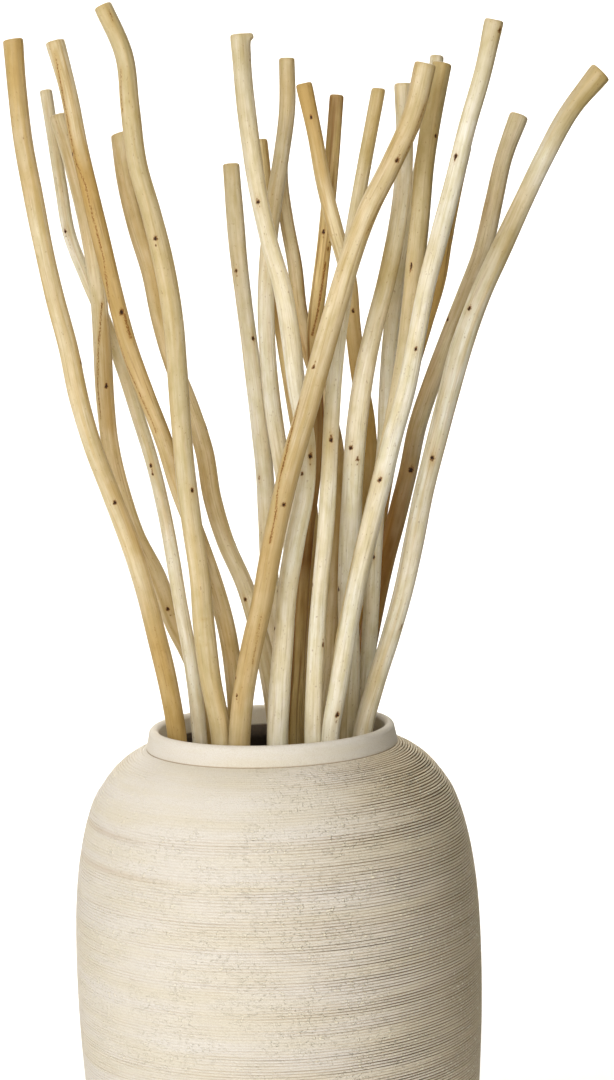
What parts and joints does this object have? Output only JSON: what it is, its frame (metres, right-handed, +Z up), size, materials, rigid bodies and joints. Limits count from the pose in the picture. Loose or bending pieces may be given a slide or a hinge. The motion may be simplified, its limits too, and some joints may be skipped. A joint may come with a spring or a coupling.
{
  "type": "willow stems in a vase",
  "caption": "Bunch of bare, peeled willow stems fanning out of a tall round stoneware vase with a smooth lip and a finely combed body.",
  "frame": {"origin": "centre of the vase's foot, on the surface it stands on", "axes": "+Z up along the vase's axis; the front of the bunch faces -Y; +X to the right seen from the front"},
  "size_m": [0.4051, 0.2866, 0.9304],
  "materials": {
    "clay": "matte, finely combed round the body, unglazed",
    "willow_pale": "peeled willow, smooth, nearly white",
    "willow_straw": "peeled willow, smooth, straw coloured",
    "willow_amber": "peeled willow with amber streaks and drying cracks",
    "willow_brown": "peeled willow, brown"
  },
  "bodies": {
    "root": {"vase": "clay", "willow_stem_01": "willow_straw", "willow_stem_02": "willow_straw", "willow_stem_03": "willow_amber", "willow_stem_04": "willow_straw", "willow_stem_05": "willow_pale", "willow_stem_06": "willow_straw", "willow_stem_07": "willow_straw", "willow_stem_08": "willow_pale", "willow_stem_09": "willow_brown", "willow_stem_10": "willow_straw", "willow_stem_11": "willow_straw", "willow_stem_12": "willow_amber", "willow_stem_13": "willow_brown", "willow_stem_14": "willow_pale", "willow_stem_15": "willow_amber", "willow_stem_16": "willow_straw", "willow_stem_17": "willow_straw", "willow_stem_18": "willow_pale", "willow_stem_19": "willow_pale", "willow_stem_20": "willow_brown", "willow_stem_21": "willow_brown", "willow_stem_22": "willow_pale"}
  },
  "joints": []
}
